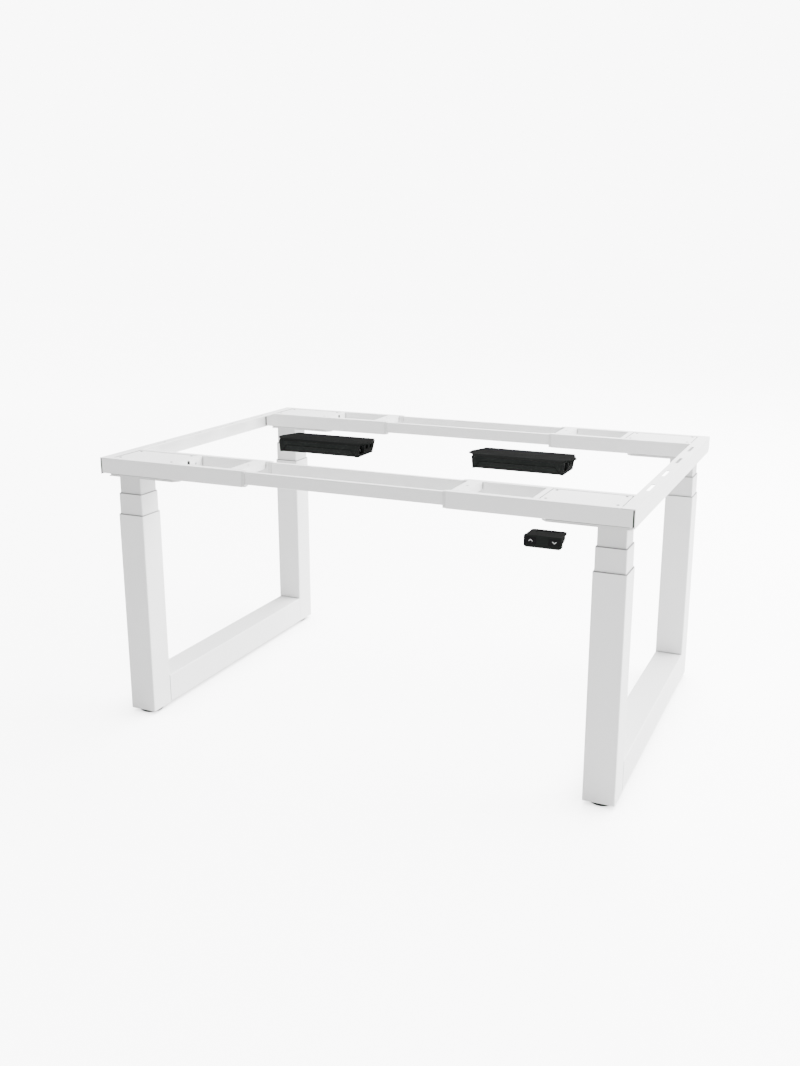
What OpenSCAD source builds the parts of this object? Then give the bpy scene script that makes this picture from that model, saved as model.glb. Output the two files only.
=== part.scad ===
// Electric standing desk frame on four telescopic legs, all lengths in millimetres.
// +X is the frame's right end, +Y its back, +Z up, and the origin lies on the floor at its centre.
// The frame is drawn fully lowered, at its middle length.

/* [Frame] */
// Overall length over the two side rails
frame_length = 1260; // [1200:10:1400]
// Overall depth over the four end brackets
frame_depth = 874; // [760:2:1000]
// Distance from a side rail's outer face to the centre of its legs
leg_inset_x = 51.5; // [49:0.5:56]
// Distance from a bracket's outer face to the centre of its leg
leg_inset_y = 68.5; // [62:0.5:80]

/* [Columns] */
// Length of the outer column tube
outer_length = 500; // [440:5:600]
// Width of the square outer tube
outer_width = 70; // [69.6:0.1:72]
// Width of the square middle tube
mid_width = 65; // [64.6:0.1:65.4]
// Width of the square inner tube
inner_width = 60; // [58:0.1:60.4]
// Wall of all three column tubes
column_wall = 1.5; // [1.2:0.1:1.8]
// Outside corner radius of the column tubes
column_corner = 3; // [2.2:0.1:5]
// Middle tube that shows above the outer tube when lowered
mid_show = 51; // [30:1:70]
// Inner tube that shows above the middle tube when lowered
inner_show = 50; // [30:1:70]
// Lift of each of the two moving stages
stage_stroke = 300; // [200:5:310]
// Steel plates that close the feet of the outer and middle tubes
foot_plate = 4; // [3:0.5:6]
// Free height under a moving tube when it is fully lowered
stage_gap = 6; // [4:0.5:10]

/* [Foot beams] */
// Height of the beam between a front and a rear leg
beam_height = 72; // [50:1:90]
// Wall of the beam
beam_wall = 1.5; // [1.2:0.1:3]

/* [Levelling glides] */
// Height at which the glides hold the legs off the floor
glide_height = 10; // [8:0.5:14]
// Diameter of a glide's plastic foot
glide_diameter = 58; // [40:1:66]
// Play between the foot and the leg above it when it is screwed home
glide_play = 0.3; // [0.2:0.1:1]
// Bevel round the foot's upper edge
glide_bevel = 2.5; // [1:0.5:4]
// Diameter of the threaded stud
stud_diameter = 8; // [6:1:10]
// Length of the stud above the foot
stud_length = 26; // [20:1:40]
// Diameter of the threaded boss in the leg's foot plate
boss_diameter = 16; // [14:1:20]
// Height of that boss above the plate
boss_height = 9; // [6:1:12]

/* [End brackets] */
// Height of the channels that carry the desktop
channel_height = 37; // [34:1:44]
// Width of one channel
channel_width = 16; // [15:0.5:20]
// Wall of the channels
channel_wall = 1.5; // [1.2:0.1:1.8]
// Outside corner radius of the channels
channel_corner = 2; // [1.9:0.1:3]
// Distance over the two channels of one bracket
bracket_depth = 130; // [124:1:150]
// Length of the channels
bracket_length = 384; // [370:1:400]
// Play between a channel's end and the side rail
channel_end_gap = 1.5; // [0.5:0.1:3]
// Width of the cross member near the channels' inner ends
cross_width = 32; // [24:1:40]
// Distance from the channels' inner ends to the cross member
cross_setback = 6; // [4:0.5:12]
// Sheet of the cross member and of the strap
cross_sheet = 2; // [1.5:0.1:3]
// Depth of the cross member's two folded edges
cross_drop = 16; // [8:1:30]
// Diameter of the desktop screw hole in the cross member
desktop_hole = 7; // [5:0.5:9]
// Width of the strap in front of the motor cover
strap_width = 12; // [8:1:16]
// Depth of the strap's folded edge
strap_drop = 26; // [12:1:32]
// Play between the strap and the motor cover
strap_gap = 1.5; // [1:0.1:3]

/* [Leg plates] */
// Thickness of the plate on top of each column
plate_thickness = 5; // [4:0.5:8]
// Distance from a leg's axis to the inner end of a left plate
left_plate_reach = 161.5; // [156:0.5:168]
// Distance from a leg's axis to the inner end of a right plate
right_plate_reach = 135.5; // [134:0.5:140]
// Length of the left plates
left_plate_length = 202; // [196:1:206]
// Length of the right plates
right_plate_length = 182; // [176:1:184]
// Corner cut at the plates' inner ends
plate_inner_cut = 12; // [6:1:20]
// Corner cut at the outer ends of the left plates
left_plate_cut = 20; // [10:1:24]
// Corner cut at the outer ends of the right plates
right_plate_cut = 5; // [3:1:20]

/* [Motor covers] */
// Distance from the leg's axis to the cover's inner end
cover_reach = 142.5; // [140:0.5:144]
// Length of the cover
cover_length = 164; // [156:1:166]
// Sheet of the cover
cover_sheet = 1.5; // [1:0.1:2]
// Play between the cover and the channels beside it
cover_gap = 1.5; // [1:0.1:3]
// Depth at which the cover lies below the channels' tops
cover_sink = 1; // [0.5:0.1:2]
// Corner radius of the cover
cover_corner = 4; // [3:0.5:8]

/* [Side rails] */
// Thickness of the angled side rail
rail_sheet = 1.5; // [1.2:0.1:2.5]
// Width of the rail's top flange
rail_flange = 27; // [24:1:32]
// Height of the rail's web
rail_web = 39; // [38:1:46]
// Radius of the lower corner at the web's rear end
rail_end_radius = 18; // [6:1:30]
// Width of the desktop screw slots
slot_width = 8; // [6:0.5:10]
// Length of the desktop screw slots
slot_length = 66; // [40:1:80]
// Distance between neighbouring slots
slot_pitch = 156; // [120:1:170]
// Distance from the rail's outer face to the middle of the slots
slot_inset = 14; // [12.5:0.5:16]
// Play under the flange where it lies on the brackets
flange_gap = 0.3; // [0.2:0.1:0.6]

/* [Centre rails] */
// Distance from the frame's end to the end of a centre rail
centre_inset = 100; // [90:1:130]
// Height of a centre rail
centre_height = 29; // [26:0.5:29]
// Width of a centre rail
centre_width = 10.5; // [9:0.1:10.6]
// Wall of a centre rail
centre_wall = 1.5; // [1.2:0.1:2]
// Outside corner radius of a centre rail
centre_corner = 1.8; // [1.6:0.1:2.5]
// Play above a centre rail in its channel
centre_play = 0.5; // [0.3:0.1:1]
// Length of the nylon bush in the channel's mouth
bush_length = 30; // [20:1:60]
// Length of the bush's lip outside the mouth
bush_lip = 7; // [4:0.5:10]
// Depth at which the lip lies inside the channel's outline
bush_inset = 0.6; // [0.3:0.1:1]
// Play between a bush and the rail that slides through it
bush_play = 0.2; // [0.1:0.05:0.4]

/* [Column bushes] */
// Play between a column bush and the tube that slides past it
slide_play = 0.15; // [0.1:0.05:0.3]
// Length of the nylon skirt inside a tube's mouth
skirt_length = 32; // [20:1:60]
// Height of the lip on top of the tube
lip_height = 1.2; // [0.8:0.1:2]
// Depth at which the lip lies inside the tube's outline
lip_inset = 0.6; // [0.3:0.1:1]
// Length of the slide pads at a tube's lower end
pad_length = 24; // [15:1:60]

/* [Lifting screws] */
// Diameter of the upper screw, which the gearbox turns
upper_screw = 14; // [12:0.5:14]
// Outside diameter of the hollow lower screw
lower_screw = 22; // [21:0.5:22]
// Bore of the lower screw, which slides over the upper one
lower_screw_bore = 15; // [14.4:0.1:16]
// Running clearance round each screw, on the radius
screw_clearance = 0.05; // [0.02:0.01:0.1]
// Height of a nut's head on top of its post
nut_height = 14; // [10:1:18]
// Depth of a nut's spigot inside its post
nut_spigot = 8; // [5:1:12]
// Screw left below its nut at full lift
screw_reserve = 30; // [15:1:60]
// Outside diameter of the post that carries the lower nut
lower_post = 28; // [27:0.5:29]
// Outside diameter of the post that carries the upper nut
upper_post = 36; // [35:0.5:40]
// Wall of both posts
post_wall = 2; // [1.5:0.1:2.2]
// Depth of the lower nut below the outer tube's top
lower_nut_depth = 10; // [6:1:20]
// Depth of the upper nut below the middle tube's top
upper_nut_depth = 5; // [4:1:15]
// Diameter of the collar that carries the lower screw
collar_diameter = 27; // [26:0.5:28]
// Height of that collar
collar_height = 5; // [4:0.5:8]
// Thickness of the seat ring under the collar
seat_height = 5; // [4:0.5:8]
// End play of the collar between its seat and the upper nut
collar_play = 0.3; // [0.2:0.05:0.5]

/* [Gear motors] */
// Diameter of the gearbox round the leg's axis
gearbox_diameter = 38; // [34:0.5:39]
// Height of the gearbox
gearbox_height = 31; // [28:0.5:32]
// Width of the gearbox neck towards the motor
gearbox_neck = 36; // [30:1:44]
// Distance from the leg's axis to the motor's flange
motor_reach = 34; // [30:1:38]
// Length of the motor
motor_length = 96; // [80:1:100]
// Diameter of the motor's can
motor_diameter = 44; // [36:1:46]
// Height over the two flats of the can
motor_height = 30; // [28:0.5:31]
// Thickness of the motor's flange
motor_flange = 4; // [3:0.5:6]
// Diameter of the motor's rear bearing boss
motor_boss = 16; // [12:1:20]
// Length of that boss
motor_boss_length = 4; // [2:0.5:6]
// Depth of the screw's seat in the gearbox
screw_seat = 22; // [14:1:26]
// Hole in the leg plate round the screw
plate_hole = 20; // [16:1:30]

/* [Control boxes] */
// Length of a control box without its ears
box_length = 227; // [180:1:240]
// Depth of a control box
box_depth = 99; // [90:1:110]
// Height of a control box
box_height = 33.5; // [31:0.5:40]
// Distance from the frame's centre to each box's middle
box_offset = 264; // [250:1:280]
// Distance that the boxes stand behind the frame's centre line
box_setback = 6; // [0:1:20]
// Thickness of the lid that lies against the desktop
lid_thickness = 4; // [3:0.5:6]
// Depth of the bevel along the lid's front
lid_bevel = 8; // [4:0.5:12]
// Corner radius of the lid
lid_corner = 5; // [4:0.5:10]
// Draught of the tray's front
box_front_draught = 1.5; // [1:0.5:3]
// Draught of the tray's back
box_back_draught = 13; // [6:0.5:16]
// Draught of the tray's ends
box_end_draught = 2; // [1:0.5:4]
// Height of the bevel along the bottom of the tray's front
facet_height = 20; // [14:0.5:22]
// Depth of that bevel
facet_depth = 6; // [4:0.5:9]
// Distance from the tray's ends to the bevel's bottom edge
facet_margin = 8; // [6:0.5:14]
// Distance by which the bevel is shorter at its top edge than at its bottom, at each end
facet_slant = 14; // [8:0.5:20]
// Length of an ear
ear_length = 16; // [14:0.5:20]
// Width of an ear at its tip
ear_tip = 25; // [18:1:30]
// Width of an ear where it leaves the lid
ear_root = 76; // [50:1:80]
// Distance that an ear's tip stands in front of the box's middle
ear_shift = 11.5; // [4:0.5:12]
// Thickness of an ear
ear_thickness = 3; // [2:0.5:4]
// Hole in an ear
ear_hole = 5; // [4:0.5:6]
// Width of each of the two motor sockets
socket_width = 14; // [12:0.5:15]
// Height of the motor sockets
socket_height = 13; // [10:0.5:15]
// Width of the mains inlet
inlet_width = 26; // [22:0.5:27]
// Height of the mains inlet
inlet_height = 20; // [16:0.5:22]
// Depth of the sockets and the inlet
socket_depth = 14; // [10:0.5:20]
// Distance between the sockets
socket_wall = 9; // [6:0.5:10]
// Distance from the tray's front to the mains inlet
inlet_margin = 10; // [8:0.5:11]
// Wall above the sockets and the inlet
socket_roof = 2; // [1.5:0.1:3]

/* [Handset] */
// Distance from the frame's right end to the handset's middle
handset_inset = 104; // [80:1:140]
// Distance that the handset's front stands before the frame
handset_reach = 257; // [200:1:280]
// Width of the handset's front
handset_width = 68; // [64:0.5:76]
// Height of the handset's front
handset_height = 22; // [20:0.5:26]
// Thickness of the front panel
panel_thickness = 8; // [7:0.5:12]
// Radius of the front panel's lower corners
handset_round = 5; // [3:0.5:6]
// Radius of the front panel's upper corners
panel_corner = 1.5; // [1:0.1:3]
// Width of the flange against the desktop
flange_width = 64; // [60:0.5:70]
// Depth of the handset with its flange
handset_depth = 45; // [40:1:50]
// Thickness of the flange
flange_thickness = 4; // [3:0.5:6]
// Corner radius of the flange
handset_corner = 7; // [5:0.5:9]
// Width of the case behind the front panel
case_width = 60; // [54:0.5:62]
// Depth of that case
case_depth = 37; // [30:1:38]
// Height of the case at its front
case_height = 20; // [16:0.5:22]
// Height of the case at its back
case_back_height = 12; // [8:0.5:16]
// Depth of the case's level bottom
case_level = 16; // [10:1:24]
// Depth of the shallow recess in the flange's top
recess_depth = 1.2; // [0.8:0.1:2]
// Length of that recess
recess_length = 40; // [30:1:42]
// Width of that recess
recess_width = 16; // [10:1:20]
// Distance from the handset's front to the middle of the recess
recess_offset = 31; // [26:0.5:32]
// Corner radius of that recess
recess_corner = 3; // [2:0.5:4]
// Width of a key
key_width = 20; // [18:0.5:21]
// Height of a key
key_height = 13; // [9:0.5:14]
// Thickness of a key
key_thickness = 3; // [2:0.5:4]
// Corner radius of a key
key_corner = 2.5; // [1.5:0.1:4]
// Travel of a key
key_travel = 0.6; // [0.4:0.1:1]
// Play round a key
key_play = 0.3; // [0.2:0.05:0.5]
// Distance between the two keys' middles
key_pitch = 42.6; // [42:0.1:44]
// Distance from the desktop to the keys' middles
key_drop = 9.5; // [8.5:0.5:11]
// Screw holes in the flange
handset_hole = 4; // [3:0.5:4]
// Distance between the flange's screw holes
handset_hole_pitch = 48; // [46:0.5:50]
// Distance from the flange's back edge to the middle of its holes
handset_hole_inset = 5; // [4:0.5:6]

/* [Hidden] */

// Finish of the powder coated steel
steel_white = "whitesmoke";
// Finish of the nylon bushes and the plastic feet
nylon_black = [0.12, 0.12, 0.13];
// Finish of the control boxes and the handset
case_black = [0.16, 0.17, 0.17];
// Finish of bare steel
bare_steel = "silver";
// Finish of bronze nuts
nut_bronze = [0.72, 0.55, 0.3];
// Finish of the cast gearboxes
cast_grey = "darkgray";

// Signs of the four corners
left = -1;
right = 1;
front = -1;
rear = 1;

// Length by which every cut runs past the solid that it opens
overrun = 1;
// Smoothness of all round surfaces
$fn = 48;

// Places of the legs
leg_x = frame_length / 2 - leg_inset_x;
leg_y = frame_depth / 2 - leg_inset_y;

// Heights of the lowered column, from the floor up
outer_top = glide_height + outer_length;
mid_top = outer_top + mid_show;
inner_top = mid_top + inner_show;
plate_top = inner_top + plate_thickness;
frame_top = plate_top + channel_height;
mid_bottom = glide_height + foot_plate + stage_gap;
inner_bottom = mid_bottom + foot_plate + stage_gap;

// Openings of the tubes
outer_bore = outer_width - 2 * column_wall;
mid_bore = mid_width - 2 * column_wall;
inner_bore = inner_width - 2 * column_wall;
bore_corner = column_corner - column_wall;

// Lifting gear, from the bottom up
lower_nut_top = outer_top - lower_nut_depth;
lower_nut_bottom = lower_nut_top - nut_height;
upper_nut_top = mid_top - upper_nut_depth;
upper_nut_bottom = upper_nut_top - nut_height;
collar_top = upper_nut_bottom - nut_spigot - collar_play;
seat_top = collar_top - collar_height - collar_play;
lower_screw_end = lower_nut_bottom - nut_spigot - stage_stroke - screw_reserve;
upper_screw_end = upper_nut_bottom - nut_spigot - stage_stroke - screw_reserve;
lower_post_bore = lower_post - 2 * post_wall;
upper_post_bore = upper_post - 2 * post_wall;
upper_screw_top = plate_top + screw_seat;

// Places of the brackets' channels, measured from the frame's centre
outer_channel_y = (frame_depth - channel_width) / 2;
inner_channel_y = frame_depth / 2 - bracket_depth + channel_width / 2;
bracket_y = (outer_channel_y + inner_channel_y) / 2;
channel_clear = bracket_depth - 2 * channel_width;
channel_end = frame_length / 2 - rail_sheet - channel_end_gap;
channel_start = channel_end - bracket_length;
channel_z = plate_top + channel_height / 2;
cover_start = leg_x - cover_reach;
cross_start = channel_start + cross_setback;
strap_start = cover_start - strap_gap - strap_width;
flange_start = frame_length / 2 - rail_flange;

// Centre rails
centre_length = frame_length - 2 * centre_inset;
centre_z = frame_top - channel_wall - centre_play - centre_height / 2;

// Control boxes and handset
box_bottom = frame_top - box_height;
tray_top = frame_top - lid_thickness;
ear_reach = box_length / 2 + ear_length / 2;
handset_x = frame_length / 2 - handset_inset;
handset_y = -frame_depth / 2 - handset_reach;
key_z = frame_top - key_drop;

// Corner of the frame, drawn at the right rear and mirrored to the one that is asked for
module corner(side, end) {
    mirror([side < 0 ? 1 : 0, 0, 0])
        mirror([0, end < 0 ? 1 : 0, 0])
            children();
}

// A rectangle with round corners, about its middle
module rounded(x, y, r) {
    square([x - 2 * r, y], center = true);
    square([x, y - 2 * r], center = true);
    for (i = [-1, 1], j = [-1, 1])
        translate([i * (x / 2 - r), j * (y / 2 - r)])
            circle(r);
}

// The section of a rectangular tube
module tube_section(x, y, wall, r) {
    difference() {
        rounded(x, y, r);
        rounded(x - 2 * wall, y - 2 * wall, r - wall);
    }
}

// A square ring that fills the play between two square tubes
module square_ring(outside, inside, outside_corner, inside_corner, height) {
    linear_extrude(height)
        difference() {
            rounded(outside, outside, outside_corner);
            rounded(inside, inside, inside_corner);
        }
}

// A bar along X with the given section in Y and Z
module along_x(length) {
    rotate([90, 0, 90])
        linear_extrude(length)
            children();
}

// Outer tube of a column, welded to a foot plate that carries the boss for the glide and the
// post of the lower nut
module outer_tube(side, end) {
    post_height = lower_nut_bottom - glide_height;
    color(steel_white)
        corner(side, end)
            translate([leg_x, leg_y, glide_height])
                difference() {
                    union() {
                        linear_extrude(outer_length)
                            tube_section(outer_width, outer_width, column_wall, column_corner);
                        linear_extrude(foot_plate)
                            rounded(outer_width - column_wall, outer_width - column_wall, bore_corner);
                        cylinder(h = foot_plate + boss_height, d = boss_diameter);
                        post(post_height, lower_post, lower_post_bore);
                    }
                    translate([0, 0, -overrun])
                        cylinder(
                            h = foot_plate + boss_height + 2 * overrun,
                            r = stud_diameter / 2 + screw_clearance
                        );
                }
}

// Hollow round post
module post(height, outside, inside) {
    difference() {
        cylinder(h = height, d = outside);
        translate([0, 0, -overrun])
            cylinder(h = height + 2 * overrun, d = inside);
    }
}

// Beam that joins a front and a rear leg near the floor
module foot_beam(side) {
    beam_length = 2 * leg_y - outer_width;
    color(steel_white)
        translate([side * leg_x, -beam_length / 2, glide_height + beam_height / 2])
            rotate([-90, 0, 0])
                linear_extrude(beam_length)
                    tube_section(outer_width, beam_height, beam_wall, column_corner);
}

// Levelling glide: a plastic foot moulded on a threaded stud
module glide(side, end) {
    foot_top = glide_height - glide_play;
    radius = glide_diameter / 2;
    color(nylon_black)
        corner(side, end)
            translate([leg_x, leg_y, 0])
                rotate_extrude()
                    polygon([
                        [0, 0],
                        [radius - glide_bevel, 0],
                        [radius, glide_bevel],
                        [radius, foot_top - glide_bevel],
                        [radius - glide_bevel, foot_top],
                        [stud_diameter / 2, foot_top],
                        [stud_diameter / 2, foot_top + stud_length],
                        [0, foot_top + stud_length]
                    ]);
}

// Bush in the mouth of a column tube: a lip on the tube's end and a skirt inside it
module mouth_bush(tube_width, tube_bore, sliding_width, top) {
    passage = sliding_width + 2 * slide_play;
    passage_corner = column_corner + slide_play;
    translate([0, 0, top])
        square_ring(
            tube_width - 2 * lip_inset,
            passage,
            column_corner,
            passage_corner,
            lip_height
        );
    translate([0, 0, top - skirt_length])
        square_ring(tube_bore, passage, bore_corner, passage_corner, skirt_length);
}

// Slide pad round the lower end of a moving tube
module slide_pad(tube_width, guide_bore, bottom) {
    translate([0, 0, bottom])
        square_ring(
            guide_bore - 2 * slide_play,
            tube_width,
            bore_corner,
            column_corner,
            pad_length
        );
}

// Bushes in the mouths of one side's outer tubes
module outer_bushes(side) {
    color(nylon_black)
        for (end = [front, rear])
            corner(side, end)
                translate([leg_x, leg_y, 0])
                    mouth_bush(outer_width, outer_bore, mid_width, outer_top);
}

// Bushes in the mouths of one side's middle tubes, and the pads at their lower ends
module mid_bushes(side) {
    color(nylon_black)
        for (end = [front, rear])
            corner(side, end)
                translate([leg_x, leg_y, 0]) {
                    mouth_bush(mid_width, mid_bore, inner_width, mid_top);
                    slide_pad(mid_width, outer_bore, mid_bottom);
                }
}

// Middle tube of a column, welded to a foot plate that the lower nut's post passes through and
// that carries the upper nut's post, with the seat ring of the lower screw inside it
module mid_tube(side, end) {
    color(steel_white)
        corner(side, end)
            translate([leg_x, leg_y, mid_bottom]) {
                linear_extrude(mid_top - mid_bottom)
                    tube_section(mid_width, mid_width, column_wall, column_corner);
                difference() {
                    linear_extrude(foot_plate)
                        rounded(mid_width - column_wall, mid_width - column_wall, bore_corner);
                    translate([0, 0, -overrun])
                        cylinder(h = foot_plate + 2 * overrun, d = upper_post_bore);
                }
                post(upper_nut_bottom - mid_bottom, upper_post, upper_post_bore);
                translate([0, 0, seat_top - seat_height - mid_bottom])
                    post(seat_height, upper_post - post_wall, lower_screw + 2 * screw_clearance);
            }
}

// Outline of the plate on top of a column, at the right rear corner
module plate_outline(start, length, outer_cut) {
    edge = bracket_depth / 2;
    translate([start, bracket_y])
        polygon([
            [plate_inner_cut, -edge],
            [length - outer_cut, -edge],
            [length, outer_cut - edge],
            [length, edge - outer_cut],
            [length - outer_cut, edge],
            [plate_inner_cut, edge],
            [0, edge - plate_inner_cut],
            [0, plate_inner_cut - edge]
        ]);
}

// Inner tube of a column, welded to the plate that carries the bracket and the gear motor
module inner_tube(side, end) {
    start = leg_x - (side == left ? left_plate_reach : right_plate_reach);
    length = side == left ? left_plate_length : right_plate_length;
    outer_cut = side == left ? left_plate_cut : right_plate_cut;
    color(steel_white)
        corner(side, end)
            difference() {
                union() {
                    translate([leg_x, leg_y, inner_bottom])
                        linear_extrude(inner_top - inner_bottom)
                            tube_section(inner_width, inner_width, column_wall, column_corner);
                    translate([0, 0, inner_top])
                        linear_extrude(plate_thickness)
                            plate_outline(start, length, outer_cut);
                }
                translate([leg_x, leg_y, inner_top - overrun])
                    cylinder(h = plate_thickness + 2 * overrun, d = plate_hole);
            }
}

// Nut with a head on its post's end and a spigot inside the post
module flanged_nut(bottom, outside, inside, screw) {
    spigot_radius = inside / 2 - screw_clearance;
    color(nut_bronze)
        translate([leg_x, leg_y, bottom])
            difference() {
                union() {
                    cylinder(h = nut_height, d = outside);
                    translate([0, 0, -nut_spigot])
                        cylinder(h = nut_spigot + nut_height / 2, r = spigot_radius);
                }
                translate([0, 0, -nut_spigot - overrun])
                    cylinder(
                        h = nut_spigot + nut_height + 2 * overrun,
                        r = screw / 2 + screw_clearance
                    );
            }
}

// Nuts of one side's lower screws, on the outer tubes' posts
module lower_nuts(side) {
    for (end = [front, rear])
        corner(side, end)
            flanged_nut(lower_nut_bottom, lower_post, lower_post_bore, lower_screw);
}

// Nuts of one side's upper screws, on the middle tubes' posts
module upper_nuts(side) {
    for (end = [front, rear])
        corner(side, end)
            flanged_nut(upper_nut_bottom, upper_post, upper_post_bore, upper_screw);
}

// Hollow lower screw, which turns in the upper nut's post and in the lower nut
module lower_lift_screw(side, end) {
    color(bare_steel)
        corner(side, end)
            translate([leg_x, leg_y, lower_screw_end])
                difference() {
                    union() {
                        cylinder(h = collar_top - lower_screw_end, d = lower_screw);
                        translate([0, 0, collar_top - collar_height - lower_screw_end])
                            cylinder(h = collar_height, d = collar_diameter);
                    }
                    translate([0, 0, -overrun])
                        cylinder(
                            h = collar_top - lower_screw_end + 2 * overrun,
                            d = lower_screw_bore
                        );
                }
}

// Upper screw, which hangs in the gearbox and turns in the upper nut
module upper_lift_screw(side, end) {
    color(bare_steel)
        corner(side, end)
            translate([leg_x, leg_y, upper_screw_end])
                cylinder(h = upper_screw_top - upper_screw_end, d = upper_screw);
}

// One channel of an end bracket, notched under the side rail's flange
module channel(y) {
    notch_length = channel_end - flange_start + flange_gap;
    difference() {
        translate([channel_start, y, channel_z])
            along_x(channel_end - channel_start)
                tube_section(channel_width, channel_height, channel_wall, channel_corner);
        translate([
            channel_end - notch_length,
            y - channel_width / 2 - overrun,
            frame_top - rail_sheet - flange_gap
        ])
            cube([notch_length + overrun, channel_width + 2 * overrun, rail_sheet + flange_gap + overrun]);
    }
}

// Sheet that bridges the channels, with its two long edges folded down
module folded_strap(start, width, drop, second_fold) {
    reach = channel_clear + channel_wall;
    translate([start, bracket_y - reach / 2, frame_top - cross_sheet])
        cube([width, reach, cross_sheet]);
    for (fold = second_fold ? [0, width - cross_sheet] : [0])
        translate([start + fold, bracket_y - reach / 2, frame_top - drop])
            cube([cross_sheet, reach, drop]);
}

// End bracket: two channels, the cross member near their inner ends and the motor strap
module bracket(side, end) {
    color(steel_white)
        corner(side, end)
            difference() {
                union() {
                    channel(outer_channel_y);
                    channel(inner_channel_y);
                    folded_strap(cross_start, cross_width, cross_drop, true);
                    folded_strap(strap_start, strap_width, strap_drop, false);
                }
                translate([cross_start + cross_width / 2, bracket_y, frame_top - cross_sheet - overrun])
                    cylinder(h = cross_sheet + 2 * overrun, d = desktop_hole);
            }
}

// Side rail: an angle whose flange lies on the brackets, with slots for the desktop's screws
module side_rail(side) {
    outer_face = frame_length / 2;
    first_slot = 1.5 * slot_pitch;
    color(steel_white)
        mirror([side < 0 ? 1 : 0, 0, 0])
            difference() {
                union() {
                    translate([flange_start, -frame_depth / 2, frame_top - rail_sheet])
                        cube([rail_flange, frame_depth, rail_sheet]);
                    translate([outer_face - rail_sheet, 0, 0])
                        rotate([90, 0, 90])
                            linear_extrude(rail_sheet)
                                web_outline();
                }
                for (y = [-first_slot : slot_pitch : first_slot])
                    translate([outer_face - slot_inset, y, frame_top - rail_sheet - overrun])
                        linear_extrude(rail_sheet + 2 * overrun)
                            slot_outline();
            }
}

// Outline of the side rail's web in Y and Z, round at its lower rear corner
module web_outline() {
    web_bottom = frame_top - rail_web;
    translate([-frame_depth / 2, web_bottom])
        square([frame_depth - rail_end_radius, rail_web]);
    translate([frame_depth / 2 - rail_end_radius, web_bottom + rail_end_radius])
        square([rail_end_radius, rail_web - rail_end_radius]);
    translate([frame_depth / 2 - rail_end_radius, web_bottom + rail_end_radius])
        circle(rail_end_radius);
}

// Outline of a desktop screw slot, long in Y
module slot_outline() {
    straight = slot_length - slot_width;
    square([slot_width, straight], center = true);
    for (end = [-1, 1])
        translate([0, end * straight / 2])
            circle(d = slot_width);
}

// Sheet cover over a gear motor, standing on the leg's plate
module motor_cover(side, end) {
    cover_width = channel_clear - 2 * cover_gap;
    cover_height = channel_height - cover_sink;
    color(steel_white)
        corner(side, end)
            translate([cover_start + cover_length / 2, bracket_y, plate_top])
                difference() {
                    linear_extrude(cover_height)
                        rounded(cover_length, cover_width, cover_corner);
                    translate([0, 0, -overrun])
                        linear_extrude(cover_height - cover_sheet + overrun)
                            rounded(
                                cover_length - 2 * cover_sheet,
                                cover_width - 2 * cover_sheet,
                                cover_corner - cover_sheet
                            );
                }
}

// Gearbox and motor that drive one column's screws
module gear_motor() {
    motor_z = plate_top + gearbox_height / 2;
    color(cast_grey)
        difference() {
            union() {
                translate([leg_x, leg_y, plate_top])
                    cylinder(h = gearbox_height, d = gearbox_diameter);
                translate([leg_x - motor_reach, leg_y - gearbox_neck / 2, plate_top])
                    cube([motor_reach, gearbox_neck, gearbox_height]);
            }
            translate([leg_x, leg_y, plate_top - overrun])
                cylinder(h = screw_seat + collar_play + overrun, r = upper_screw / 2 + screw_clearance);
        }
    color(bare_steel)
        translate([leg_x - motor_reach, leg_y, motor_z])
            rotate([0, -90, 0]) {
                intersection() {
                    cylinder(h = motor_length, d = motor_diameter);
                    translate([-motor_height / 2, -motor_diameter / 2, 0])
                        cube([motor_height, motor_diameter, motor_length]);
                }
                translate([-motor_height / 2, -gearbox_neck / 2, 0])
                    cube([motor_height, gearbox_neck, motor_flange]);
                translate([0, 0, motor_length])
                    cylinder(h = motor_boss_length, d = motor_boss);
            }
}

// The two gear motors of one side
module gear_motors(side) {
    for (end = [front, rear])
        corner(side, end)
            gear_motor();
}

// Bush in a channel's mouth, with a lip outside it, that a centre rail slides through
module rail_bush(y) {
    passage_y = centre_width + 2 * bush_play;
    passage_z = centre_height + 2 * bush_play;
    skirt_y = channel_width - 2 * channel_wall;
    skirt_z = channel_height - 2 * channel_wall;
    translate([channel_start - bush_lip, y, 0])
        difference() {
            union() {
                translate([0, 0, channel_z])
                    along_x(bush_lip)
                        rounded(
                            channel_width - 2 * bush_inset,
                            channel_height - 2 * bush_inset,
                            channel_corner
                        );
                translate([bush_lip, 0, channel_z])
                    along_x(bush_length)
                        rounded(skirt_y, skirt_z, channel_corner - channel_wall);
            }
            translate([-overrun, 0, centre_z])
                along_x(bush_lip + bush_length + 2 * overrun)
                    rounded(passage_y, passage_z, centre_corner);
        }
}

// Bushes that one side's top carries: in the channels' mouths and at the inner tubes' ends
module top_bushes(side) {
    color(nylon_black)
        for (end = [front, rear])
            corner(side, end) {
                rail_bush(outer_channel_y);
                rail_bush(inner_channel_y);
                translate([leg_x, leg_y, 0])
                    slide_pad(inner_width, mid_bore, inner_bottom);
            }
}

// Centre rail: a flat tube that slides in the channels of both end brackets
module centre_rail(y) {
    color(steel_white)
        translate([-centre_length / 2, y, centre_z])
            along_x(centre_length)
                tube_section(centre_width, centre_height, centre_wall, centre_corner);
}

// Section of a control box's tray in Y and Z
module tray_section() {
    half = box_depth / 2;
    polygon([
        [-half, tray_top],
        [half, tray_top],
        [half - box_back_draught, box_bottom],
        [box_front_draught - half, box_bottom]
    ]);
}

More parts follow.
